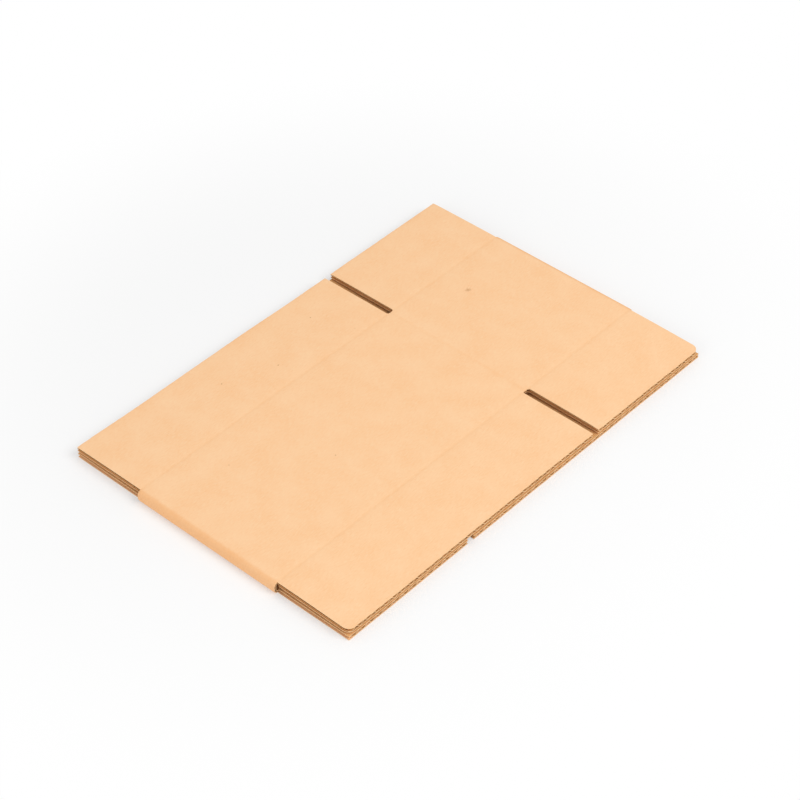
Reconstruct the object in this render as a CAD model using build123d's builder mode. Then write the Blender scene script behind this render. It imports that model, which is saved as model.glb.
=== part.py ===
from build123d import *
import math
import os

# A small regular slotted box of single-wall corrugated board, glued into a sleeve and pressed flat.
# It lies on its back layer. X runs across the panels, Y along the flutes from the bottom flaps to
# the top flaps, and Z up through the thickness. The origin is the middle of the underside.
# All sizes are in millimetres.

# Panels, measured over the outside of the board
panel_length = 204.0  # long panel, from its fold to its corner line
panel_width = 98.0  # short panel
panel_height = 103.0  # between the bottom and top flap scores
flap_depth = 51.0  # from a flap score to the cut edge, so that the long flaps meet over the box

# Board, B flute
board_thickness = 3.0
liner_thickness = 0.35
medium_thickness = 0.3
flute_pitch = 6.6
glue_line = 0.8  # width of the line along which a flute tip is glued to its liner
front_flute_start = 1.05  # from the left fold to the first flute of the front layer
back_flute_start = 3.95  # the same in the back layer

# Slots between the flaps
slot_width = 5.0
slot_end_radius = 1.2

# Creases
score_width = 3.0  # flap scores
score_depth = 0.2  # less than a liner, because the flutes run on below it
crease_width = 3.6  # corner line of the front layer
crease_depth = 1.0  # on the inner face, where the creasing wheel bore
crease_dip = 0.25  # on the outer face

# Folds at the two ends
fold_wall = 1.8  # board crushed by the fold
fold_radius = 3.0  # outer corners
fold_reach = 6.5  # from the end of the box to where the board has its full thickness again
fold_taper = 2.5  # length over which the board thins towards the fold

# Glued joint between the two back panels
tab_width = 32.0
tab_thickness = 1.8  # pressed flat by the glueing
tab_clearance = 0.2  # below the front layer
tab_setback = 3.0  # from the flap scores
tab_taper = 9.0  # how much shorter each side of the tab's free edge is
tab_step = 3.5  # length over which the short panel rises onto the long one
seam_width = 1.5

# Worn lower corners of the front layer
corner_wear = 4.5

# What follows from the sizes above
layer_gap = tab_thickness + tab_clearance
front_level = board_thickness + layer_gap
total_thickness = front_level + board_thickness
middle_level = total_thickness / 2
flat_width = panel_length + panel_width
blank_height = panel_height + 2 * flap_depth
right_fold = flat_width / 2
left_fold = -right_fold
front_corner = left_fold + panel_length
back_corner = left_fold + panel_width
score_line = panel_height / 2
cut_edge = blank_height / 2
flap_end = right_fold - slot_width / 2  # side edges of the outer flaps, set back by half a slot

# Each plane faces the viewer who stands at the bottom flaps, so an extrusion runs towards -Y
top_edge_plane = Plane.XZ.offset(-cut_edge)
top_score_plane = Plane.XZ.offset(-score_line)
bottom_score_plane = Plane.XZ.offset(score_line)


# Flute: the space between two slopes of the medium and the liner they stand on
core_height = board_thickness - 2 * liner_thickness
slope_run = flute_pitch / 2 - glue_line
slope_angle = math.acos(medium_thickness / math.hypot(core_height, slope_run)) - math.atan2(
    slope_run, core_height
)
flute_half = (flute_pitch - glue_line) / 2
peak_height = flute_half * math.tan(slope_angle)
space_height = core_height - medium_thickness
tip_radius = (peak_height - space_height) / (1 / math.cos(slope_angle) - 1)

with BuildSketch() as flute_space:
    with BuildLine():
        Polyline((-flute_half, 0), (0, peak_height), (flute_half, 0), close=True)
    make_face()
    fillet(flute_space.vertices().sort_by(Axis.Y)[-1], tip_radius)


# Fold: the room inside it, left free by the crushed board, as a profile at the left end
with BuildSketch() as fold_space:
    room = middle_level - fold_wall
    with BuildLine():
        Polyline(
            (fold_reach, -layer_gap / 2),
            (fold_reach - fold_taper, -room),
            (fold_wall, -room),
            (fold_wall, room),
            (fold_reach - fold_taper, room),
            (fold_reach, layer_gap / 2),
            close=True,
        )
    make_face()
    fillet(fold_space.vertices().group_by(Axis.X)[0], fold_radius - fold_wall)


def flute_places(start, level, spans):
    """Places of one layer's flutes, sorted by whether they run from edge to edge or stop at the flap
    scores, and by whether the tip points up or down. Those that run through fit into the spans."""
    places = {}
    reach = flap_end + flute_half - medium_thickness
    for i in range(-1, 2 * math.ceil(flat_width / flute_pitch) + 1):
        centre = left_fold + start + i * flute_pitch / 2
        tip_up = i % 2 == 0
        base = level + (liner_thickness if tip_up else board_thickness - liner_thickness)
        through = any(a + flute_half < centre < b - flute_half for a, b in spans)
        if abs(centre) < reach:
            places.setdefault((through, tip_up), []).append((centre, base))
    return places


def draw_flutes(through):
    """Flute spaces of both layers, either those that run through or those of the flaps alone."""
    for tip_up in (True, False):
        places = back_flutes[through, tip_up] + front_flutes[through, tip_up]
        with Locations(*places):
            add(flute_space.sketch, rotation=0 if tip_up else 180)


def draw_groove(centre, level, inwards, width, depth):
    """Round-bottomed groove in a face at this level. It goes into the board, up or down as inwards
    is 1 or -1, and is open to the air by a quarter of the gap between the layers."""
    left = centre - width / 2
    right = centre + width / 2
    above = level - inwards * layer_gap / 4
    with BuildLine() as outline:
        ThreePointArc((left, level), (centre, level + inwards * depth), (right, level))
        Polyline((right, level), (right, above), (left, above), (left, level))
    make_face(outline.edges())


# Stretches of each layer that no fold or crease has crushed between the flap scores
front_spans = [
    (left_fold + fold_reach, front_corner - crease_width / 2),
    (front_corner + crease_width / 2, right_fold - fold_reach),
]
back_spans = [
    (left_fold + fold_reach, back_corner - seam_width / 2 - tab_step),
    (back_corner + seam_width / 2 + medium_thickness, right_fold - fold_reach),
]
front_flutes = flute_places(front_flute_start, front_level, front_spans)
back_flutes = flute_places(back_flute_start, 0, back_spans)


with BuildPart() as flattened_box:
    # Sleeve of four panels between the flap scores, folded over at both ends
    with BuildSketch(top_score_plane) as sleeve:
        with Locations((0, middle_level)):
            Rectangle(flat_width, total_thickness)
        fillet(sleeve.vertices(), fold_radius)
        with Locations((0, middle_level)):
            Rectangle(flat_width - 2 * fold_reach, layer_gap, mode=Mode.SUBTRACT)
        with Locations((left_fold, middle_level)):
            add(fold_space.sketch, mode=Mode.SUBTRACT)
        with Locations((right_fold, middle_level)):
            add(fold_space.sketch, rotation=180, mode=Mode.SUBTRACT)
    extrude(amount=panel_height)

    # Flaps: both layers carry on, flat and separate, to the top and bottom cut edges
    with BuildSketch(top_edge_plane, bottom_score_plane):
        with Locations((0, board_thickness / 2), (0, front_level + board_thickness / 2)):
            Rectangle(2 * flap_end, board_thickness)
    extrude(amount=flap_depth)

    # Slots between neighbouring flaps, in line with each layer's corner line
    for corner, level in ((back_corner, 0), (front_corner, front_level)):
        with BuildSketch(Plane.XY.offset(level)) as slots:
            with Locations((corner, score_line)):
                Rectangle(slot_width, 2 * flap_depth, align=(Align.CENTER, Align.MIN))
            fillet(slots.vertices().group_by(Axis.Y)[0], slot_end_radius)
            mirror(about=Plane.XZ)
        extrude(amount=board_thickness, mode=Mode.SUBTRACT)

    # Flap scores: shallow grooves across both faces of each layer, on the inner faces short of the
    # folds' end walls
    outer_faces = ((0, 1), (total_thickness, -1))
    inner_faces = ((board_thickness, -1), (front_level, 1))
    for reach, faces in ((right_fold, outer_faces), (flap_end, inner_faces)):
        with BuildSketch(Plane.YZ.offset(-reach)):
            for level, inwards in faces:
                draw_groove(score_line, level, inwards, score_width, score_depth)
                draw_groove(-score_line, level, inwards, score_width, score_depth)
        extrude(amount=2 * reach, mode=Mode.SUBTRACT)

    # Corner line of the front layer: creased from the inside, with a faint dip outside
    with BuildSketch(top_score_plane):
        draw_groove(front_corner, front_level, 1, crease_width, crease_depth)
        draw_groove(front_corner, total_thickness, -1, crease_width, crease_dip)
    extrude(amount=panel_height, mode=Mode.SUBTRACT)

    # Seam between the free edges of the two back panels
    with BuildSketch(top_score_plane):
        with Locations((back_corner, board_thickness / 2)):
            Rectangle(seam_width, board_thickness)
    extrude(amount=panel_height, mode=Mode.SUBTRACT)

    # Glue tab: the short back panel steps up, crushed, and is glued inside the long one
    step_start = back_corner - seam_width / 2
    step_end = back_corner + seam_width / 2
    tab_end = step_end + tab_width
    with BuildSketch(Plane.XZ.offset(-score_line + tab_setback)):
        with BuildLine():
            Polyline(
                (step_start - tab_step, board_thickness),
                (step_start, board_thickness + tab_thickness),
                (tab_end, board_thickness + tab_thickness),
                (tab_end, board_thickness),
                (step_end, board_thickness),
                (step_start, board_thickness - tab_thickness),
                (step_start - tab_step, board_thickness - tab_thickness),
                close=True,
            )
        make_face()
    extrude(amount=panel_height - 2 * tab_setback)

    with BuildSketch(Plane.XY.offset(board_thickness)):
        tab_side = score_line - tab_setback
        with BuildLine():
            Polyline(
                (step_end, tab_side),
                (tab_end, tab_side - tab_taper),
                (tab_end, tab_side),
                close=True,
            )
        make_face()
        mirror(about=Plane.XZ)
    extrude(amount=tab_thickness, mode=Mode.SUBTRACT)

    # Lower corners of the front layer, worn round
    with BuildSketch(Plane.XY.offset(front_level)):
        with Locations((flap_end, -cut_edge)):
            Rectangle(corner_wear, corner_wear, align=(Align.MAX, Align.MIN))
        with Locations((flap_end - corner_wear, -cut_edge + corner_wear)):
            Circle(corner_wear, mode=Mode.SUBTRACT)
        mirror(about=Plane.YZ)
    extrude(amount=board_thickness, mode=Mode.SUBTRACT)

    # Flutes that run from edge to edge
    with BuildSketch(top_edge_plane):
        draw_flutes(through=True)
    extrude(amount=blank_height, mode=Mode.SUBTRACT)

    # Flutes of the flaps alone, over the folds and creases
    open_length = flap_depth - score_width / 2
    with BuildSketch(top_edge_plane, Plane.XZ.offset(cut_edge - open_length)):
        draw_flutes(through=False)
    extrude(amount=open_length, mode=Mode.SUBTRACT)

flattened_box.part.label = "flattened_box"
os.makedirs("parts", exist_ok=True)
export_step(flattened_box.part, "parts/flattened_box.step")
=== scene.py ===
# %% [markdown]
# # A corrugated box, glued and pressed flat
#
# The object is a small shipping box of brown corrugated board, as it comes from the maker: one blank of
# board, creased, slotted, glued into a sleeve at one joint and pressed flat. It lies on its back panels.
#
# Corrugated board is three papers: an outside liner, a fluted paper in the middle and an inside liner.
# One solid slab with a striped edge would pass from far off. Here each paper is a mesh of its own,
# because the open flutes along the cut edges are what tell the eye that this is board.
# The lesson follows the maker: lay out the flat blank, cut it, flute it, crease it, then fold it.
#
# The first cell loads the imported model, which fixes the size and the place of all that follows.

# %% Load the frame
import math

import bpy
import numpy as np
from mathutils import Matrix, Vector


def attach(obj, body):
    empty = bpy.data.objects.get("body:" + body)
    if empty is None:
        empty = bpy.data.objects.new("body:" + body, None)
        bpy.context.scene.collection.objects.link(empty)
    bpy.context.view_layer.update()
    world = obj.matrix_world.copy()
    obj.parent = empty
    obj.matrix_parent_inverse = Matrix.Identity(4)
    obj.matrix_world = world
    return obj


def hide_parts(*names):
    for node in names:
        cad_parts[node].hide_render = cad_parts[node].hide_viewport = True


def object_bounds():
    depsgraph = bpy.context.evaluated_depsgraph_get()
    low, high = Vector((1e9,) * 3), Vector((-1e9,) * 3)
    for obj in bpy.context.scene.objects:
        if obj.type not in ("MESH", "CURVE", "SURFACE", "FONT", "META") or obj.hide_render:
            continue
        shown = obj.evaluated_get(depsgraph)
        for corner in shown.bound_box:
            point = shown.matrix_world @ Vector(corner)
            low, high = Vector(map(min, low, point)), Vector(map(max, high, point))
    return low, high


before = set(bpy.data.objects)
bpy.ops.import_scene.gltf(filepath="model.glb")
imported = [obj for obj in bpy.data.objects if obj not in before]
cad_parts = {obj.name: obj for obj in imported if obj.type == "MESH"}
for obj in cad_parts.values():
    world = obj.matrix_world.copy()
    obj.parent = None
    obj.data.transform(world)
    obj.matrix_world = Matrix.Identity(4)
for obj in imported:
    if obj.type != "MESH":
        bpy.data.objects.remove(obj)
cad_low, cad_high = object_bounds()
print("the packed model reaches from", tuple(cad_low), "to", tuple(cad_high))

# %% [markdown]
# ## The sizes of the box
#
# The folds, scores and slots divide the blank into four panels with a flap above and below each. All
# sizes could be read off the mesh of the solid model, point by point. Only the three outer ones come
# from the frame here, and the rest are the maker's own sizes, which are easier to read and to change.
#
# Lengths are in metres. X runs across the panels, Y along the flutes, and Z up through the thickness.

# %% Panels, flaps and slots
MM = 0.001

fold = cad_high.x  # the two folds are the ends of the flat box
cut_edge = cad_high.y  # the flaps end here, top and bottom
pile = cad_high.z  # both layers and the gap between them
long_panel = 204 * MM
flap_depth = 51 * MM
corner = long_panel - fold  # X of the front corner line; the glued joint is at minus this X
score = cut_edge - flap_depth  # the flap scores are at plus and minus this Y

slot = 5.0 * MM
slot_radius = 1.2 * MM
flap_side = fold - slot / 2  # X of the flaps' sides next to the folds
groove = 3.0 * MM  # width of a flap score
crease = 3.6 * MM  # width of the corner line
corner_wear = 4.5 * MM  # radius of the worn lower corners
print(f"panels {long_panel:.3f} and {fold - corner:.3f} m wide and {2 * score:.3f} m high")

# %% [markdown]
# ## The sizes of the board
#
# This is B flute, the usual board of so small a box, 3 mm thick with a flute every 6.6 mm. A fold
# crushes it to little more than half, and so does the gluing at the joint, where one back panel has a
# tab that steps up onto the other. One thickness for the whole box would be simpler, but its crushed
# folds are what let a real one lie flat.

# %% Board, folds and glued joint
board = 3.0 * MM
liner = 0.35 * MM
fluting = 0.3 * MM
pitch = 6.6 * MM
flute_start = 1.05 * MM  # from the left fold to the front layer's first crest on the outside liner
first_crest = flute_start - fold

fold_radius = 3.0 * MM
fold_wall = 1.8 * MM  # board crushed by a fold
fold_reach = 6.5 * MM  # from the end of the box to where the board is whole again
fold_taper = 2.5 * MM  # length over which it thins

seam = 1.5 * MM
tab_width = 32 * MM
tab_wall = 1.8 * MM  # board pressed by the gluing
tab_setback = 3.0 * MM  # from the flap scores
tab_taper = 9.0 * MM  # how much shorter each side of the tab is at its free edge
tab_shoulder = 1.0 * MM  # length over which the tab's side comes out to the flap score
step_run = 5.0 * MM  # length over which the board rises onto the other back panel
print(f"board {board:.4f} m thick, with {2 * fold / pitch:.0f} flutes across a layer")

# %% [markdown]
# ## The line that the board follows
#
# Seen from the cut edge, the outside liner is one long line: from the glue tab down a small step, along
# the short back panel, round the left fold, across the whole front, round the right fold and back to
# the seam. Modifiers could bend the blank, but each bends all that lies beyond its limits, and six
# bends would have to be fitted one after another. The line is walked instead, as a turtle would walk:
# each run has a length and a turn. The step is two equal arcs, one down and one level again.

# %% Walk along the outside liner
step_turn = 2 * math.atan(board / step_run)
step_radius = step_run / (2 * math.sin(step_turn))
step_arc = step_radius * step_turn
step_foot = -corner + seam / 2 - step_run  # X where the step leaves the short back panel
tab_end = step_foot + step_run + tab_width  # X of the tab's free edge
straight = 2 * (fold - fold_radius)  # length of the front between its folds
end_wall = pile - 2 * fold_radius
right_angle = math.pi / 2
quarter = fold_radius * right_angle

runs = {
    "tab": (tab_width, 0),
    "step down": (step_arc, step_turn),
    "step level": (step_arc, -step_turn),
    "short back panel": (step_foot + straight / 2, 0),
    "left fold, lower arc": (quarter, -right_angle),
    "left fold, wall": (end_wall, 0),
    "left fold, upper arc": (quarter, -right_angle),
    "front": (straight, 0),
    "right fold, upper arc": (quarter, -right_angle),
    "right fold, wall": (end_wall, 0),
    "right fold, lower arc": (quarter, -right_angle),
    "long back panel": (straight / 2 + corner - seam / 2, 0),
}


def walk(runs, x, z, heading):
    """Station, point, heading and turn per metre at the start of each run, and the last station."""
    at_start = []
    station = 0
    for length, turn in runs:
        at_start.append((station, x, z, heading, turn / length))
        chord = length * np.sinc(turn / (2 * math.pi))
        x += chord * math.cos(heading + turn / 2)
        z += chord * math.sin(heading + turn / 2)
        heading += turn
        station += length
    return np.array(at_start).T, station


line, line_end = walk(runs.values(), tab_end, board, math.pi)
print(f"the line has {len(runs)} runs and is {line_end:.4f} m long")

# %% [markdown]
# ## Places on the line
#
# A maker marks a flat blank by the distance from its edge. The places could be searched for in the
# folded mesh, but a number is simpler: each place has its station, which is the distance along the
# line. The panels are straight, so there a station is a sum. The other way round, the line gives the
# point at any station and the direction into the board.

# %% Stations
starts = line[0]
start_of = dict(zip(runs, starts))
tab_root = start_of["step down"]
step_bottom = start_of["short back panel"]
left_in = start_of["left fold, lower arc"]
left_out = start_of["front"]
right_in = start_of["right fold, upper arc"]
right_out = start_of["long back panel"]
left_mid = (left_in + left_out) / 2
right_mid = (right_in + right_out) / 2


def back_short(x):
    """Station on the short back panel at this X."""
    return left_in - straight / 2 - x


def front(x):
    """Station on the front panels at this X."""
    return left_out + straight / 2 + x


def back_long(x):
    """Station on the long back panel at this X."""
    return right_out + straight / 2 - x


def along(s):
    """X and Z of the outside liner at the stations s, and the unit direction into the board."""
    start, x, z, heading, bend = line[:, np.searchsorted(starts, s, side="right") - 1]
    run = s - start
    turn = bend * run
    chord = run * np.sinc(turn / (2 * math.pi))
    way = heading + turn / 2
    inward = heading + turn - right_angle
    return x + chord * np.cos(way), z + chord * np.sin(way), np.cos(inward), np.sin(inward)


end_x, end_z = along(np.array([line_end]))[:2]
print(f"the line ends at the seam, at X {end_x[0]:.4f} and Z {abs(end_z[0]):.4f}")

# %% [markdown]
# ## Flaps and bends
#
# The maker's drawing of a blank shows two kinds of lines, cuts and creases. They could be drawn as
# curves here too. All of them run along the flutes or across them, so a list of stations says as much:
# where each flap starts and ends, and between which stations the board bends.

# %% List the flaps and the bends
flaps = [
    (back_short(-corner - slot / 2), back_short(-flap_side)),
    (front(-flap_side), front(corner - slot / 2)),
    (front(corner + slot / 2), front(flap_side)),
    (back_long(flap_side), back_long(-corner + slot / 2)),
]
worn_sides = (flaps[1][0], flaps[2][1])  # the outer sides of the front layer
crush_half = left_mid - left_in + fold_reach - fold_radius  # from the middle of a fold to whole board
bends = [
    (tab_root, step_bottom),
    (left_mid - crush_half, left_mid + crush_half),
    (front(corner) - crease, front(corner) + crease),
    (right_mid - crush_half, right_mid + crush_half),
]
print("the flaps are", [round((b - a) / MM, 1) for a, b in flaps], "mm wide")

# %% [markdown]
# ## Columns
#
# A sheet of paper needs its edges where it is folded, fluted and creased. A grid with even cells would
# spend most of them on the flat panels. So the columns stand close together in the folds, the step, the
# corner line and at the slots, and a sixth of a flute apart elsewhere. The fluted paper has twelve to
# a flute, so that its wave is round.

# %% Place the columns
ROUNDING = 1e-7  # metres; a mesh rounds the places of its points off by less than this
slot_steps = np.array([0, 0.17, 0.5, 1]) * slot_radius  # columns of a round end, from the slot's side
wear_steps = np.array([0.03, 0.13, 0.31, 0.6, 1]) * corner_wear  # and of a worn corner, from its side


def spread(marks, gaps):
    """Places from the first mark to the last, with even steps of at most a gap between two marks."""
    places = [marks[0]]
    for a, b, gap in zip(marks, marks[1:], gaps):
        count = max(1, math.ceil((b - a - ROUNDING) / gap))
        places.extend(a + (b - a) * (i + 1) / count for i in range(count))
    return np.array(places)


def columns(even, fine):
    """Stations of the columns: even ones on the panels, fine ones where the board bends."""
    marks = {0, line_end}
    marks.update(place for pair in bends + flaps for place in pair)
    marks.update(flaps[1][1] + slot_steps)
    marks.update(flaps[2][0] - slot_steps)
    marks.update(worn_sides[0] + wear_steps)
    marks.update(worn_sides[1] - wear_steps)
    marks = sorted(marks)
    middles = [(a + b) / 2 for a, b in zip(marks, marks[1:])]
    gaps = [fine if any(a <= m <= b for a, b in bends) else even for m in middles]
    return spread(marks, gaps)


liner_columns = columns(even=pitch / 6, fine=0.55 * MM)
fluting_columns = columns(even=pitch / 12, fine=pitch / 12)
print("a liner has", len(liner_columns), "columns and the fluted paper", len(fluting_columns))

# %% [markdown]
# ## Rows
#
# Along the flutes the board is straight, except at the flap scores and at the cut edges, which the
# knives press and fray. Even rows would have to be as close everywhere as they are needed there. So
# the rows close up at both, and the fluted paper, which is seen only at its ends, has fewer of them.

# %% Place the rows
edge_zone = 4 * MM  # the rows start to close up at this distance from a cut edge
edge_strip = 1 * MM  # and are closest within this one


def rows(even, in_groove, near_edge, at_edge):
    """Y of the rows from cut edge to cut edge."""
    marks = [0, score - groove / 2, score, score + groove / 2]
    marks += [cut_edge - edge_zone, cut_edge - edge_strip, cut_edge]
    upper = spread(marks, [even, in_groove, in_groove, even, near_edge, at_edge])
    return np.concatenate([-upper[:0:-1], upper])


liner_rows = rows(even=5.2 * MM, in_groove=0.5 * MM, near_edge=1.05 * MM, at_edge=0.35 * MM)
fluting_rows = rows(even=13 * MM, in_groove=0.8 * MM, near_edge=1.5 * MM, at_edge=0.5 * MM)
print("a liner has", len(liner_rows), "rows and the fluted paper", len(fluting_rows))

# %% [markdown]
# ## Random drift
#
# Nothing on a cheap box is quite straight. Noise textures could push the points about, but a modifier
# would push each paper by itself, and the papers have to stay together. One function gives smooth
# random heights at any place, the same ones on every run, and all the papers read it.

# %% Random drift
TABLE = (61, 67)  # random heights in a table, which repeats beyond so many cells


def ease(t):
    """Smooth step from 0 to 1."""
    t = np.clip(t, 0, 1)
    return t * t * (3 - 2 * t)


def drift(u, v, cell, seed):
    """Smooth random heights from -1 to 1 over a plane, with hills and hollows about one cell apart."""
    heights = np.random.default_rng(seed).uniform(-1, 1, TABLE)
    i = np.floor(u / cell).astype(int)
    j = np.floor(v / cell).astype(int)
    a = ease(u / cell - i)
    b = ease(v / cell - j)
    i, next_i = i % TABLE[0], (i + 1) % TABLE[0]
    j, next_j = j % TABLE[1], (j + 1) % TABLE[1]
    low = heights[i, j] * (1 - a) + heights[next_i, j] * a
    high = heights[i, next_j] * (1 - a) + heights[next_i, next_j] * a
    return low * (1 - b) + high * b


sample = drift(np.linspace(0, 1, 1000), np.zeros(1000), cell=0.01, seed=1)
print(f"the drift goes from {sample.min():.2f} to {sample.max():.2f}")

# %% [markdown]
# ## Three flat sheets
#
# The board comes off the corrugator as a flat sheet. Loop cuts in a plane could give it its columns and
# rows, but there are hundreds, at uneven distances. So a grid primitive is added for each paper, with
# as many columns and rows as were counted, and all its points are moved to their places at once. X is
# the station. Points are read and written as one array, which is much quicker than one by one.

# %% Lay out the sheets
def points_of(mesh):
    """The mesh's points as an array, one row each."""
    flat = np.empty(3 * len(mesh.vertices))
    mesh.vertices.foreach_get("co", flat)
    return flat.reshape(-1, 3)


def move_to(mesh, points):
    """Puts the mesh's points at these places."""
    mesh.vertices.foreach_set("co", points.ravel())
    mesh.update()


def lay_out(name, stations, levels):
    """A flat sheet with these columns and rows."""
    bpy.ops.object.select_all(action="DESELECT")
    bpy.ops.mesh.primitive_grid_add(x_subdivisions=len(stations) - 1, y_subdivisions=len(levels) - 1)
    sheet = bpy.context.object
    sheet.name = name
    x, y, z = points_of(sheet.data).T
    column = np.rint((x + 1) / 2 * (len(stations) - 1)).astype(int)  # the new grid goes from -1 to 1
    row = np.rint((y + 1) / 2 * (len(levels) - 1)).astype(int)
    move_to(sheet.data, np.stack([stations[column], levels[row], z], axis=1))
    print(name, "has", len(sheet.data.polygons), "cells")
    return sheet


outside_liner = lay_out("outside_liner", liner_columns, liner_rows)
fluted_paper = lay_out("fluted_paper", fluting_columns, fluting_rows)
inside_liner = lay_out("inside_liner", liner_columns, liner_rows)
papers = (outside_liner, fluted_paper, inside_liner)

# %% [markdown]
# ## Cutting the blank
#
# A slotter cuts the sheet: a narrow slot between each two flaps, and a glue tab at one end. A boolean
# with a cutter for each slot would leave long thin triangles, and they would show as soon as the paper
# bends. The columns already stand where the knives go, so the cells between them are selected and
# deleted, as one would by hand.

# %% Cut out the slots
def only(piece):
    """Deselects everything and makes this piece the active one."""
    bpy.ops.object.select_all(action="DESELECT")
    piece.select_set(True)
    bpy.context.view_layer.objects.active = piece


def cut_out(sheet):
    """Deletes the cells above and below the flap scores that are on no flap."""
    centres = np.empty(3 * len(sheet.data.polygons))
    sheet.data.polygons.foreach_get("center", centres)
    s, y = centres[0::3], centres[1::3]
    on_a_flap = np.any([(s > a) & (s < b) for a, b in flaps], axis=0)
    only(sheet)
    bpy.context.tool_settings.mesh_select_mode = (False, False, True)  # faces
    bpy.ops.object.mode_set(mode="EDIT")
    bpy.ops.mesh.select_all(action="DESELECT")
    bpy.ops.object.mode_set(mode="OBJECT")
    sheet.data.polygons.foreach_set("select", (np.abs(y) > score) & ~on_a_flap)
    bpy.ops.object.mode_set(mode="EDIT")
    bpy.ops.mesh.delete(type="FACE")
    bpy.ops.object.mode_set(mode="OBJECT")
    print(sheet.name, "keeps", len(sheet.data.polygons), "cells")


for sheet in papers:
    cut_out(sheet)

# %% [markdown]
# ## The tab and the round ends
#
# The glue tab is set back from the flap scores and tapers, so that it can't stick out of the box. The
# slots end round, as their knives do. Both could be cut with a shape of their own, but they are small,
# so it is enough to slide the points along their columns. Every cell stays four-sided that way.

# %% Shape the tab and the slots' ends
def round_off(inside, radius):
    """What a rounded corner takes away at a distance inside the side that it starts from."""
    left = (radius - inside).clip(0, radius)
    return radius - np.sqrt(radius**2 - left**2)


def taper_tab(s, y):
    """Y with the tab set back from the flap scores and tapered."""
    tab_side = score - tab_setback
    half = np.interp(s, [0, tab_root, tab_root + tab_shoulder], [tab_side - tab_taper, tab_side, score])
    return y * half / score


def round_slots(s, y):
    """Y with the closed ends of the front slots rounded."""
    into_slot = slot / 2 - np.abs(s - front(corner))
    past_score = np.abs(y) - score
    at_end = (into_slot > -ROUNDING) & (past_score > -ROUNDING) & (past_score < groove / 2)
    shift = round_off(into_slot, slot_radius) * (1 - past_score / (groove / 2))
    return np.where(at_end, y + np.sign(y) * shift, y)


for sheet in papers:
    s, y, height = points_of(sheet.data).T
    move_to(sheet.data, np.stack([s, round_slots(s, taper_tab(s, y)), height], axis=1))
    print(sheet.name, "has its tab and round ends")

# %% [markdown]
# ## Wear
#
# The lower corners of the front layer are worn round. The knives left the cut edges a little out of
# square, by up to half a millimetre, and their fibres frayed. Displacing the finished edges would also
# move their faces, so this is done in the flat as well, with each paper frayed in its own way.

# %% Wear the cut edges
out_of_square = 0.5 * MM
square_cell = 150 * MM
fray = 0.12 * MM
fray_cell = 1.4 * MM


def wear(s, y, fray_seed):
    """Y of the points after the knives and the wear."""
    from_side = np.minimum(np.abs(s - worn_sides[0]), np.abs(s - worn_sides[1]))
    on_front = (s > worn_sides[0] - ROUNDING) & (s < worn_sides[1] + ROUNDING)
    rounded = np.where(on_front & (y < 0), round_off(from_side, corner_wear), 0)
    askew = out_of_square * (1 + drift(s, y, square_cell, seed=3)) / 2
    frayed = fray * (1 + drift(s, y, fray_cell, fray_seed)) / 2
    loss = rounded + askew + np.where(np.abs(y) > cut_edge - ROUNDING, frayed, 0)
    return y - np.sign(y) * loss * (np.abs(y) - score).clip(0) / flap_depth


for sheet, fray_seed in zip(papers, (31, 37, 41)):
    s, y, height = points_of(sheet.data).T
    y = wear(s, y, fray_seed)
    move_to(sheet.data, np.stack([s, y, height], axis=1))
    print(f"{sheet.name} ends at Y {y.min():.4f} and {y.max():.4f}")

# %% [markdown]
# ## The flutes
#
# The corrugator presses the middle paper between two toothed rolls into a wave, which is very nearly a
# sine. A wave modifier makes one, but its crests have to stand where the solid model has them, so the
# wave is one formula. In the flat blank, height 0 is the outside face of the board and the full board
# is its inside face. Near a cut edge the knife pushed the flutes about, so there the wave wanders.

# %% Wave the middle paper
wander = 0.45 * MM  # how far a flute may stand off its place at a cut edge
wander_reach = 5 * MM
wander_cell = 9 * MM
glue_overlap = 0.015 * MM  # the crests sink this far into the liners


def from_edge(y):
    """Distance from the nearer cut edge."""
    return (cut_edge - np.abs(y)).clip(0)


def phase(s, y):
    """Where each point is in the wave, in radians, and 0 at a crest on the outside liner."""
    lean = wander * np.exp(-from_edge(y) / wander_reach) * drift(s, y, wander_cell, seed=11)
    return 2 * math.pi * (s - front(first_crest) + lean) / pitch


half_wave = (board - 2 * liner - fluting) / 2 + glue_overlap
s, y, height = points_of(fluted_paper.data).T
height = board / 2 - half_wave * np.cos(phase(s, y))
move_to(fluted_paper.data, np.stack([s, y, height], axis=1))
print(f"the wave is {2 * half_wave / MM:.2f} mm high")

# %% [markdown]
# ## The thickness of the papers
#
# The papers are a third of a millimetre thick, a little more than real ones, so that their edges show.
# Extruding each by hand would do, but not evenly along the wave. Solidify does it, with its offset set
# so that the liners grow towards the middle of the board and the wave to both sides.

# %% Thicken the papers
def thicken(sheet, amount, offset):
    """Solidify along the sheet's own normal, applied."""
    only(sheet)
    solidify = sheet.modifiers.new("paper", "SOLIDIFY")
    solidify.thickness = amount
    solidify.offset = offset
    solidify.use_even_offset = True
    bpy.ops.object.modifier_apply(modifier=solidify.name)


move_to(inside_liner.data, points_of(inside_liner.data) + (0, 0, board))
thicken(outside_liner, liner, offset=1)
thicken(fluted_paper, fluting, offset=0)
thicken(inside_liner, liner, offset=-1)
for sheet in papers:
    heights = points_of(sheet.data)[:, 2] / MM
    print(f"{sheet.name} lies between {heights.min():.3f} and {heights.max():.3f} mm")

# %% [markdown]
# ## Scores and the corner line
#
# A creasing wheel crushes the board along the lines where it will be folded: a narrow one along the
# corner line, and a blunter one along the flap scores. Both lines could be sculpted, but the three
# papers have to move as one board, so each dent is a short formula that they share. It says how much
# of the dent there is at a station and a Y.

# %% Where the creasing wheels ran
def flapness(y):
    """0 on the sleeve and 1 on the flaps."""
    return ease((np.abs(y) - score) / (groove / 2))


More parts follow.
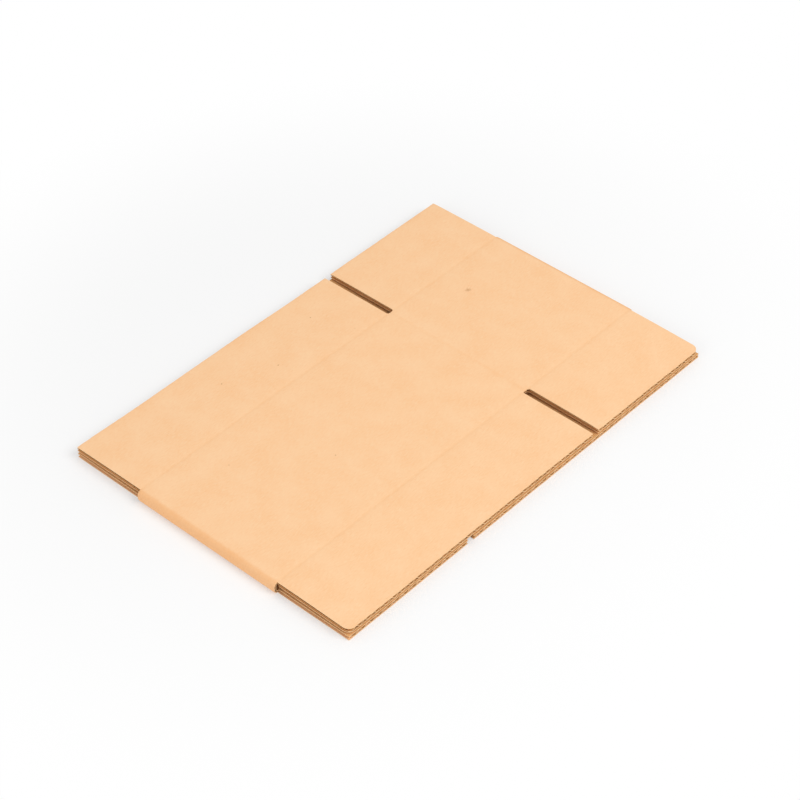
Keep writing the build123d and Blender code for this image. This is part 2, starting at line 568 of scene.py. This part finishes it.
def valley(distance, width):
    """Round-bottomed groove, 1 in its middle and 0 from half its width on."""
    return np.cos(np.clip(distance / width, -0.5, 0.5) * math.pi) ** 2


def flap_score(y):
    """1 along the flap scores."""
    return valley(np.abs(y) - score, groove)


def corner_line(s, y):
    """1 along the front corner line, which ends at the slots."""
    return valley(s - front(corner), crease) * (1 - flapness(y))


print("in the middle of the flap score:", flap_score(np.array([score]))[0])

# %% [markdown]
# ## Crushed board
#
# The folds and the glue tab are pressed to little more than half the thickness, while the flaps beside
# them keep all of it, because the slots cut them free. Scaling the mesh there would squash the liners
# as well, which stay as thick as they were. So this only says how thick the board is at each place,
# and the papers find their own heights in it when the blank is folded.

# %% Thickness of the board
def from_fold(s):
    """Distance from the middle of the nearer fold."""
    return np.minimum(np.abs(s - left_mid), np.abs(s - right_mid))


def thickness_at(s, y):
    """Thickness of the board, which the sleeve loses at its folds and the tab."""
    at_fold = np.interp(from_fold(s), [crush_half - fold_taper, crush_half], [fold_wall, board])
    at_tab = np.interp(s, [tab_root, step_bottom], [tab_wall, board])
    sleeve = np.minimum(at_fold, at_tab)
    return sleeve + (board - sleeve) * flapness(y)


thick = thickness_at(np.array([left_mid, front(0)]), np.zeros(2)) / MM
print(f"the board is {thick[0]:.1f} mm thick in a fold and {thick[1]:.1f} mm on a panel")

# %% [markdown]
# ## Dents in the two faces
#
# The creasing wheels bear on the inside of the blank, so the dents are deeper there. Between two
# crests each liner sinks a hair, which is called washboarding, and the knives pinch the cut edges. A
# bump texture could show all of this from above, but not in the outline of the cut edges, so the
# papers really move. The depths below are those on the outside and on the inside face.

# %% Dips
OUTSIDE, INSIDE = 0, 1

score_depths = (0.12 * MM, 0.2 * MM)
corner_depths = (0.2 * MM, 1.0 * MM)
washboard_depths = (0.03 * MM, 0.05 * MM)
wave_signs = (1, -1)  # where the wave touches one liner, it is farthest from the other
pinch_depths = (0.14 * MM, 0.2 * MM)
pinch_seeds = (23, 29)
pinch_reach = 0.9 * MM
pinch_cell = 4 * MM
pinch_unevenness = 0.6


def dip(s, y, face):
    """How far one face of the board lies below that of flat board."""
    trough = (1 - wave_signs[face] * np.cos(phase(s, y))) / 2
    pinch = np.exp(-from_edge(y) / pinch_reach)
    pinch = pinch * (1 + pinch_unevenness * drift(s, y, pinch_cell, pinch_seeds[face]))
    pressed = score_depths[face] * flap_score(y) + corner_depths[face] * corner_line(s, y)
    return pressed + washboard_depths[face] * trough + pinch_depths[face] * pinch


deepest = [dip(fluting_columns, 0 * fluting_columns, face).max() / MM for face in (OUTSIDE, INSIDE)]
print(f"half-way up the panels the dips reach {deepest[OUTSIDE]:.2f} and {deepest[INSIDE]:.2f} mm")

# %% [markdown]
# ## How the board sags
#
# The folds and the glue tab hold the front up. Between them it sags by a quarter of a millimetre. The
# flaps are held at their scores only, so each droops or rises by itself, by up to a millimetre. A cloth
# simulation could find such a shape, but it is slow and hard to steer. So each flap has its own share
# of the droop. It is hardly seen from above, but it breaks the two parallel lines of the edges, as on
# a real box. The back layer lies on the floor and lifts off it a little.

# %% Sag
panel_sag = 0.26 * MM
sag_cell, sag_unevenness = 45 * MM, 0.5
front_droop, back_droop = 0.75 * MM, 0.4 * MM
front_ripple, back_ripple = 0.25 * MM, 0.1 * MM
ripple_cell = 30 * MM
droop_bend = 1.6  # 1 would be a straight flap, and more bends it towards its cut edge
flap_shares = np.array([0.5, 0.7, 1.0, 0.3, 0.8, 0.6, 0.45, 0.9])  # lower flaps, then upper ones
hollows = [  # stations, and 0 where the front is held up and 1 where it hangs free
    (left_out + fold_radius, 0),
    (front(-100 * MM), 1),
    (front(step_foot), 0),
    (front(tab_end), 0),
    (front(20 * MM), 1),
    (front(100 * MM), 1),
    (right_in - fold_radius, 0),
]


def is_front(s):
    """Whether a station is on the front layer."""
    return (s > left_mid) & (s < right_mid)


def sag(s, y):
    """How far the board leaves its flat layer, towards the inside of the box."""
    on_front = is_front(s)
    hollow = ease(np.interp(s, *zip(*hollows))) * (1 + sag_unevenness * drift(s, y, sag_cell, seed=5))
    panel = np.where(on_front, panel_sag * hollow, 0)
    out = (np.abs(y) - score).clip(0) / flap_depth
    flap = np.digitize(s, [left_mid, front(corner), right_mid]) + len(flaps) * (y > 0)
    droop = np.where(on_front, front_droop, back_droop) * flap_shares[flap] * out**droop_bend
    ripple = np.where(on_front, front_ripple, back_ripple) * out * drift(s, y, ripple_cell, seed=7)
    return panel + (droop + ripple).clip(0)


every_s, every_y = (np.ravel(a) for a in np.meshgrid(liner_columns, liner_rows))
print(f"the board sags by up to {sag(every_s, every_y).max() / MM:.2f} mm")

# %% [markdown]
# ## Folding
#
# The folder turns the outer panels over at two corner lines. Each panel could be turned about its line
# as on a hinge, but the three papers would tear or cross there. Here each point of the flat papers
# goes to its station on the line, and into the board by its height. The liners keep their thickness
# where the board is crushed, and the wave between them is squeezed. The slots free the flaps from the
# folds, so there the line runs straight on.

# %% From the flat blank to the folded box
def straight_on(s):
    """X, Z and inward direction of the flat layer that a flap belongs to."""
    on_front = is_front(s)
    x = np.select(
        [s < left_mid, on_front],
        [-straight / 2 + left_in - s, -straight / 2 + s - left_out],
        straight / 2 + right_out - s,
    )
    return x, np.where(on_front, pile, 0), 0 * s, np.where(on_front, -1, 1)


def depth_at(s, y, height):
    """How deep a point of this flat height lies under the line, once the board is pressed."""
    top = dip(s, y, OUTSIDE)
    bottom = thickness_at(s, y) - dip(s, y, INSIDE)
    deep = np.stack([top, top + liner, bottom - liner, bottom])
    flat = np.array([0, liner, board - liner, board])
    k = np.searchsorted(flat, height, side="right").clip(1, 3)
    share = (height - flat[k - 1]) / (flat[k] - flat[k - 1])
    every = np.arange(len(s))
    return deep[k - 1, every] * (1 - share) + deep[k, every] * share


def folded(s, y, height):
    """Places in the folded box of points of the flat papers."""
    free = flapness(y)
    bent = along(s.clip(0, line_end))
    x, z, into_x, into_z = (a + (b - a) * free for a, b in zip(bent, straight_on(s)))
    depth = depth_at(s, y, height) + sag(s, y)
    return np.stack([x + depth * into_x, y, z + depth * into_z], axis=1)


middle = folded(np.array([front(0)]), np.zeros(1), np.zeros(1))[0] / MM
print(f"the middle of the front comes to X {middle[0]:.2f} and Z {middle[2]:.2f} mm")

# %% [markdown]
# ## What the finish needs to know
#
# A fold or a knife packs the fibres, and the paper gets darker there. In the folds this darkening is
# also painted shade, for the shade and the bounced light on the ends of the box. Painting that by hand
# would not follow the dents, so how hard the board was pressed, with the painted shade of the folds,
# is kept as an attribute of each point. The flat place of each point is kept as well, as a UV map in
# metres: paper is made flat, and its pattern then runs on round the folds.

# %% Keep the pressure and the flat places
score_press, corner_press, knife_press = 0.25, 0.2, 0.5
knife_reach = 1.2 * MM


def press_at(s, y):
    """How hard the paper was pressed, from 0 to 1, with painted shade in the folds."""
    # painted shade: the folds count as fully pressed, so that they also take the shade of the box's ends
    fold_press_and_painted_shade = ease((crush_half - fold_taper - from_fold(s)) / fold_taper) * (1 - flapness(y))
    knife = knife_press * np.exp(-from_edge(y) / knife_reach)
    wheels = np.maximum(score_press * flap_score(y), corner_press * corner_line(s, y))
    return np.maximum.reduce([wheels, fold_press_and_painted_shade, knife])


def keep_flat(mesh):
    """Keeps what the finish needs, while the mesh is still flat."""
    s, y, height = points_of(mesh).T
    corners = np.empty(len(mesh.loops), int)
    mesh.loops.foreach_get("vertex_index", corners)
    mesh.uv_layers.active.name = "blank"
    mesh.uv_layers.active.data.foreach_set("uv", np.stack([s, y], axis=1)[corners].ravel())
    mesh.attributes.new("pressed", "FLOAT", "POINT").data.foreach_set("value", press_at(s, y))


for sheet in papers:
    keep_flat(sheet.data)
    print(sheet.name, "keeps", len(sheet.data.vertices), "flat places")

# %% [markdown]
# ## The folded papers
#
# Now the blank is folded. It was laid out as seen from its inside, so folding turns it inside out.
# Recalculating the normals would put that right too, but all faces are wrong in the same way, so they
# are flipped. Faces that stand upright in the flat papers are the cut edges. They are noted first,
# because once folded they can't be told from the fold's own wall.

# %% Fold the papers
upright = 0.35  # a face whose normal has less Z than this is a cut edge
sharp_angle = math.radians(40)

cut_faces = {}
for sheet in papers:
    normals = np.empty(3 * len(sheet.data.polygons))
    sheet.data.polygons.foreach_get("normal", normals)
    cut_faces[sheet.name] = np.abs(normals[2::3]) < upright
    move_to(sheet.data, folded(*points_of(sheet.data).T))
    only(sheet)
    bpy.ops.object.mode_set(mode="EDIT")
    bpy.ops.mesh.select_all(action="SELECT")
    bpy.ops.mesh.flip_normals()
    bpy.ops.object.mode_set(mode="OBJECT")
    bpy.ops.object.shade_smooth_by_angle(angle=sharp_angle)
    print(sheet.name, "has", 2 * len(sheet.data.polygons), "triangles")

# %% [markdown]
# ## Colours and nodes
#
# Every finish below is made of shader nodes, which could be wired by hand in the shader editor. In a
# script, one small function adds a node with its settings and links. Colours are written as sRGB hex
# values, as a colour picker shows them, and another function turns them into the linear values that
# the shaders want.

# %% Helpers for materials
FACTOR, A, B, MIXED = 0, 6, 7, 2  # sockets of a Mix node that mixes colours


def colour(code):
    """Linear colour of an sRGB hex value."""
    parts = [int(code[i : i + 2], 16) / 255 for i in (0, 2, 4)]
    linear = [p / 12.92 if p <= 0.04045 else ((p + 0.055) / 1.055) ** 2.4 for p in parts]
    return (*linear, 1)


def add(material, kind, inputs=(), **settings):
    """Adds a node. Inputs are pairs of a socket and the value or the other socket that feeds it."""
    node = material.node_tree.nodes.new("ShaderNode" + kind)
    for name, value in settings.items():
        setattr(node, name, value)
    for name, value in inputs:
        if isinstance(value, bpy.types.NodeSocket):
            material.node_tree.links.new(value, node.inputs[name])
        else:
            node.inputs[name].default_value = value
    return node


def new_material(name):
    """An empty material."""
    material = bpy.data.materials.new(name)
    material.use_nodes = True
    material.node_tree.nodes.clear()
    return material


print("kraft brown in linear light:", [round(c, 3) for c in colour("FDD2A6")])

# %% [markdown]
# ## Clouds in the pulp
#
# Hold kraft paper to the light and it is cloudy, because the pulp lies thicker in some places. On the
# surface that shows as faint lighter and darker clouds a centimetre or two wide. A photograph of paper
# would be the quick way, but noise has a real size and never repeats. It reads the blank's UV map, so
# its scale is clouds per metre. Noise lies mostly between 0.3 and 0.7, which is stretched to the whole
# range.

# %% Clouds
cloud_size = 16 * MM


def pulp_clouds(material, blank, light, dark, strength):
    """Two shades of pulp, mixed in clouds of this strength."""
    pulp = add(material, "TexNoise", [("Vector", blank), ("Scale", 1 / cloud_size), ("Detail", 3.0)])
    clouds = add(material, "MapRange", [("Value", pulp.outputs["Fac"]), ("From Min", 0.3),
                                        ("From Max", 0.7), ("To Max", strength)])
    return add(material, "Mix", [(FACTOR, clouds.outputs["Result"]), (A, colour(light)),
                                 (B, colour(dark))], data_type="RGBA").outputs[MIXED]


print(f"the blank is about {line_end / cloud_size:.0f} clouds long")

# %% [markdown]
# ## Fibres
#
# Long pulp fibres lie mostly along the paper machine, which runs across the flutes. The eye sees short
# strokes, a little lighter or darker than the rest. Curves laid on the paper would be true, but far
# too many. Noise stretched along X gives the strokes, turned a little, and a second, weaker layer of
# it is turned the other way. Real fibres are 0.03 mm wide. They are drawn ten times as wide here, or
# no render would show them.

# %% Fibres
fibre_size = 0.6 * MM  # one hill and one hollow of the noise, so about two fibres
fibre_stretch = 0.2  # as wide as it is long


def laid_fibres(material, blank, shade, tint, strength, turn, shift):
    """Fibres of another tint laid over a shade, and their relief."""
    laid = add(material, "Mapping", [("Vector", blank), ("Rotation", (0, 0, turn)),
                                     ("Location", (shift, shift, 0)),
                                     ("Scale", (fibre_stretch, 1, 1))])
    fibres = add(material, "TexNoise", [("Vector", laid.outputs["Vector"]),
                                        ("Scale", 1 / fibre_size), ("Detail", 2.0)])
    picked = add(material, "MapRange", [("Value", fibres.outputs["Fac"]), ("From Min", 0.5),
                                        ("From Max", 0.75), ("To Max", strength)])
    shade = add(material, "Mix", [(FACTOR, picked.outputs["Result"]), (A, shade),
                                  (B, colour(tint))], data_type="RGBA").outputs[MIXED]
    return shade, fibres.outputs["Fac"]


print(f"a stroke is about {fibre_size / 2 / MM:.1f} by {fibre_size / 2 / fibre_stretch / MM:.1f} mm")

# %% [markdown]
# ## Specks of bark
#
# Kraft pulp isn't bleached, and now and then a dark speck of bark is left in it. Specks could be single
# small faces, or points of a fine noise. A Voronoi texture is the better choice, because it gives one
# point per cell: a spot is drawn round some of them, up to a millimetre wide, and the cell's random
# colour picks which.

# %% Specks
speck_spacing = 11 * MM
speck_radii = (0.02, 0.045)  # of the full colour and of the whole speck, as shares of the spacing
speck_strength = 0.7
speck_share = 0.72  # a cell has a speck if its random number is above this
bark = colour("A8794A")


def bark_specks(material, blank, shade):
    """Specks of bark in a shade."""
    cells = add(material, "TexVoronoi", [("Vector", blank), ("Scale", 1 / speck_spacing)])
    dots = add(material, "MapRange", [("Value", cells.outputs["Distance"]),
                                      ("From Min", speck_radii[0]), ("From Max", speck_radii[1]),
                                      ("To Min", speck_strength), ("To Max", 0.0)])
    lot = add(material, "SeparateColor", [("Color", cells.outputs["Color"])])
    few = add(material, "Math", [(0, lot.outputs[0]), (1, speck_share)], operation="GREATER_THAN")
    specks = add(material, "Math", [(0, dots.outputs["Result"]), (1, few.outputs[0])],
                 operation="MULTIPLY")
    return add(material, "Mix", [(FACTOR, specks.outputs[0]), (A, shade), (B, bark)],
               data_type="RGBA").outputs[MIXED]


print(f"a speck is up to {2 * speck_radii[1] * speck_spacing / MM:.1f} mm wide")

# %% [markdown]
# ## A scuff
#
# The short front panel has one small brown scuff, where the top fibres were rubbed off. It could be a
# decal, a small plane just above the paper, but at a close look that would hang in the air. So it is
# painted by the distance from one place of the blank, and noise is added to make its edge ragged.

# %% Scuff
scuff_place = (front(99 * MM), 31 * MM)
scuff_size = 2.6 * MM
scuff_raggedness = 1.8
scuff_range = (0.75 * scuff_size, 1.7 * scuff_size)  # ragged distance at which it fades
scuff_strength = 0.85
scuffed = colour("C48F60")


def scuff_mark(material, blank, shade):
    """The scuff on a shade."""
    away = add(material, "VectorMath", [(0, blank), (1, (*scuff_place, 0))], operation="DISTANCE")
    torn = add(material, "TexNoise", [("Vector", blank), ("Scale", 2 / scuff_size)])
    ragged = add(material, "Math", [(0, torn.outputs["Fac"]), (1, scuff_raggedness * scuff_size),
                                    (2, away.outputs["Value"])], operation="MULTIPLY_ADD")
    mark = add(material, "MapRange", [("Value", ragged.outputs[0]),
                                      ("From Min", scuff_range[0]), ("From Max", scuff_range[1]),
                                      ("To Min", scuff_strength), ("To Max", 0.0)])
    return add(material, "Mix", [(FACTOR, mark.outputs["Result"]), (A, shade), (B, scuffed)],
               data_type="RGBA").outputs[MIXED]


print("the scuff is at", tuple(round(place / MM, 1) for place in scuff_place), "mm on the blank")

# %% [markdown]
# ## Kraft paper
#
# The liners are uncoated kraft paper, pressed between felts and left matt. The eye sees a warm tan
# without any gloss. It is a Principled shader, because a diffuse one would look like chalk at a low
# angle. Where a crease, a fold or a knife pressed it, the paper is denser and darker, and in the folds
# this darker colour is also painted shade. The fibres stand out of the surface by a few hundredths of
# a millimetre, which the bump gives.

# %% Paper material
# painted shade: in the folds this share of the dense colour also stands for shade
dense_share = 0.4  # how far fully pressed paper goes to its dense colour
fibre_relief = 0.06 * MM


def paper(name, light, dark, fibre, dense, cloud, rough, scuff=False):
    """Uncoated paper in these colours, with clouds of this strength and perhaps the scuff."""
    material = new_material(name)
    blank = add(material, "UVMap", uv_map="blank").outputs["UV"]
    shade = pulp_clouds(material, blank, light, dark, cloud)
    shade, relief = laid_fibres(material, blank, shade, fibre, strength=0.5, turn=0.2, shift=0.0)
    shade, cross = laid_fibres(material, blank, shade, dense, strength=0.2, turn=-0.5, shift=3.7)
    shade = bark_specks(material, blank, shade)
    if scuff:
        shade = scuff_mark(material, blank, shade)

    # pressed paper is darker, and in the folds this darkening is also painted shade
    pressed = add(material, "Attribute", attribute_name="pressed").outputs["Fac"]
    density_and_fold_shade = add(material, "Math", [(0, pressed), (1, dense_share)], operation="MULTIPLY")
    shade = add(material, "Mix", [(FACTOR, density_and_fold_shade.outputs[0]), (A, shade), (B, colour(dense))],
                data_type="RGBA").outputs[MIXED]

    both = add(material, "Math", [(0, relief), (1, cross)], operation="ADD")
    bump = add(material, "Bump", [("Height", both.outputs[0]), ("Distance", fibre_relief),
                                  ("Strength", 0.6)])
    shader = add(material, "BsdfPrincipled", [("Base Color", shade), ("Roughness", rough),
                                              ("IOR", 1.47), ("Specular IOR Level", 0.25),
                                              ("Normal", bump.outputs["Normal"])])
    add(material, "OutputMaterial", [("Surface", shader.outputs[0])])
    print(name, "has", len(material.node_tree.nodes), "nodes")
    return material


# dense is the colour of pressed paper, and in the folds it also serves as painted shade
outside_kraft = paper("kraft_liner_uncoated", light="FED1A3", dark="FBC693", fibre="FFDCB3",
                      dense="EDA764", cloud=0.6, rough=0.88, scuff=True)

# %% [markdown]
# ## The inner papers
#
# The inside liner and the fluting are made from recycled pulp, so they are duller and deeper in
# colour, and the fluting is the deepest. Their colours are also darker than the papers themselves, as
# painted shade for the slots, the sides of the flaps and the open flutes, where they are seen in
# recesses. Both could share the liner's material behind a darkening node, but the colours are easier
# to match when each paper has its own.

# %% Inside liner and fluting
# painted shade: these colours are darker than the papers, to stand for the shade in the slots and
# between the layers
inside_kraft = paper("kraft_liner_inside", light="E5B178", dark="DAA266", fibre="EFC289",
                     dense="C68949", cloud=0.8, rough=0.92)
fluting_pulp = paper("semichemical_fluting", light="D8A36A", dark="C99157", fibre="E4B37A",
                     dense="B37941", cloud=0.6, rough=0.94)
print("papers:", outside_kraft.name, inside_kraft.name, fluting_pulp.name)

# %% [markdown]
# ## Raw edges
#
# Where the knife went through, each paper shows its torn middle: short fibres that stand out, lighter
# than the pressed surface, with small shadows between them. Hair particles would be the true way, and
# far too heavy, so a fine noise stands for them, again coarser than real fibres. The blank's UV map
# has no depth across the thin edge, so this pattern is on Object coordinates.

# %% Cut edge material
fuzz_size = 0.4 * MM
fuzz_relief = 0.15 * MM


def knife_cut(name, light, dark):
    """The cut edge of a paper, fuzzy with fibres."""
    material = new_material(name)
    place = add(material, "TexCoord").outputs["Object"]
    fuzz = add(material, "TexNoise", [("Vector", place), ("Scale", 1 / fuzz_size), ("Detail", 3.0)])
    shade = add(material, "Mix", [(FACTOR, fuzz.outputs["Fac"]), (A, colour(dark)),
                                  (B, colour(light))], data_type="RGBA")
    bump = add(material, "Bump", [("Height", fuzz.outputs["Fac"]), ("Distance", fuzz_relief)])
    shader = add(material, "BsdfPrincipled", [("Base Color", shade.outputs[MIXED]),
                                              ("Roughness", 0.95), ("IOR", 1.47),
                                              ("Specular IOR Level", 0.15),
                                              ("Normal", bump.outputs["Normal"])])
    add(material, "OutputMaterial", [("Surface", shader.outputs[0])])
    return material


raw_edge = knife_cut("kraft_knife_cut", light="FFE1B4", dark="EFBF88")
for sheet, face in zip(papers, (outside_kraft, fluting_pulp, inside_kraft)):
    sheet.data.materials.clear()
    sheet.data.materials.append(face)
    sheet.data.materials.append(raw_edge)
    sheet.data.polygons.foreach_set("material_index", cut_faces[sheet.name].astype(np.int32))
    sheet.data.update()
    print(sheet.name, "has", int(cut_faces[sheet.name].sum()), "faces on its cut edges")

# %% [markdown]
# ## Joining the frame
#
# The imported model has one body and one solid, because a glued box is one piece. The three papers could
# be joined into one mesh as well, but apart each can be hidden to look at the next. They ride on that
# body and together stand for the solid.

# %% Ride on the frame
for sheet in papers:
    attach(sheet, "root")
    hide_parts("flattened_box")
print(len(papers), "papers ride on the root and stand for the flattened box")

# %% [markdown]
# ## The floor
#
# The box lies on plain white paper that runs out of sight. A white floor under soft light comes out a
# little grey, and more light would bleach the box. So the camera sees the floor partly as a plain
# white glow, more so away from the box, and the floor keeps the shadow that the box stands in.

# %% Floor
floor_size = 12  # metres
floor_drop = 0.02 * MM  # so that the floor and the underside don't share one plane
least_glow = 0.35
least_to, full_from = 0.14, 0.34  # metres from the middle of the box


def in_view(material):
    """1 for the rays that show the background: the camera's own, and those off or through a gloss."""
    rays = add(material, "LightPath")
    seen = rays.outputs["Is Camera Ray"]
    for kind in ("Is Glossy Ray", "Is Transmission Ray"):
        seen = add(material, "Math", [(0, seen), (1, rays.outputs[kind])],
                   operation="MAXIMUM").outputs[0]
    return seen


bpy.ops.object.select_all(action="DESELECT")
bpy.ops.mesh.primitive_plane_add(size=floor_size, location=(0, 0, -floor_drop))
floor = bpy.context.object
floor.name = "studio_floor"
backdrop = new_material("studio_white_paper")
white = add(backdrop, "BsdfDiffuse", [("Color", colour("FAFAFA"))])
glow = add(backdrop, "Emission", [("Strength", 1.0)])
place = add(backdrop, "TexCoord").outputs["Object"]
away = add(backdrop, "VectorMath", [(0, place)], operation="LENGTH")
fade = add(backdrop, "MapRange", [("Value", away.outputs["Value"]), ("From Min", least_to),
                                  ("From Max", full_from), ("To Min", least_glow), ("To Max", 1.0)],
           interpolation_type="SMOOTHSTEP")
shown = add(backdrop, "Math", [(0, in_view(backdrop)), (1, fade.outputs["Result"])],
            operation="MULTIPLY")
mixed = add(backdrop, "MixShader", [(0, shown.outputs[0]), (1, white.outputs[0]),
                                    (2, glow.outputs[0])])
add(backdrop, "OutputMaterial", [("Surface", mixed.outputs[0])])
floor.data.materials.append(backdrop)
print("the floor is", tuple(floor.dimensions), "m")

# %% [markdown]
# ## The sky
#
# The photograph is bright and almost without shadows, as in a white tent. Many soft lamps could do
# that, but a plain white world is one light from all sides. It gives most of the light. Seen directly
# or in a gloss it is at full white, so that a low view has no grey sky behind the floor.

# %% World
sky = 0.62
scene = bpy.context.scene
world = bpy.data.worlds.new("studio")
scene.world = world
world.use_nodes = True
world.node_tree.nodes.clear()
strength = add(world, "Math", [(0, in_view(world)), (1, 1 - sky), (2, sky)],
               operation="MULTIPLY_ADD")
background = add(world, "Background", [("Color", (1, 1, 1, 1)), ("Strength", strength.outputs[0])])
add(world, "OutputWorld", [("Surface", background.outputs[0])])
print("the sky lights the box at", sky, "of full white")

# %% [markdown]
# ## The lamps
#
# One large lamp in front adds the shape of the cut edges, and a weak one on the left keeps the fold
# from going grey. A sun would be simpler, but its shadows are hard. With the sky they light a level
# surface at about 1, so that a colour renders as it is written.

# %% Lamps
def lamp(name, place, size, power):
    """A square area lamp that shines from its place to the box."""
    light = bpy.data.lights.new(name, "AREA")
    light.size = size
    light.energy = power
    item = bpy.data.objects.new(name, light)
    scene.collection.objects.link(item)
    item.location = place
    item.rotation_euler = (-item.location).to_track_quat("-Z", "Y").to_euler()
    print(name, "is", round(item.location.length, 2), "m from the box")


lamp("key", place=(0.35, -1.3, 1.5), size=1.2, power=18.2)
lamp("fill", place=(-1.5, -0.2, 0.7), size=0.8, power=4.5)

# %% [markdown]
# ## The camera
#
# The photograph shows the front of an upright box from the left and from above, 48 degrees off the
# panel's own direction. Here the box lies down, so the camera looks down on it, as far off that
# direction and from the same distance, and the panel has the same foreshortening. Its left fold and
# the slots stay on their sides of the picture. The lens is a little longer, to fill the frame.

# %% Camera
target = Vector((0.004, 0, 0.002))
azimuth = math.radians(-48)
elevation = math.radians(42)
distance = 1.36
sideways = Vector((math.sin(azimuth), -math.cos(azimuth), 0))
back = math.cos(elevation) * sideways + math.sin(elevation) * Vector((0, 0, 1))
camera = bpy.data.objects.new("camera", bpy.data.cameras.new("camera"))
scene.collection.objects.link(camera)
camera.location = target + distance * back
camera.rotation_euler = (-back).to_track_quat("-Z", "Y").to_euler()
camera.data.lens = 108
scene.camera = camera
scene.view_settings.view_transform = "Standard"
print("the camera is at", tuple(round(c, 3) for c in camera.location))
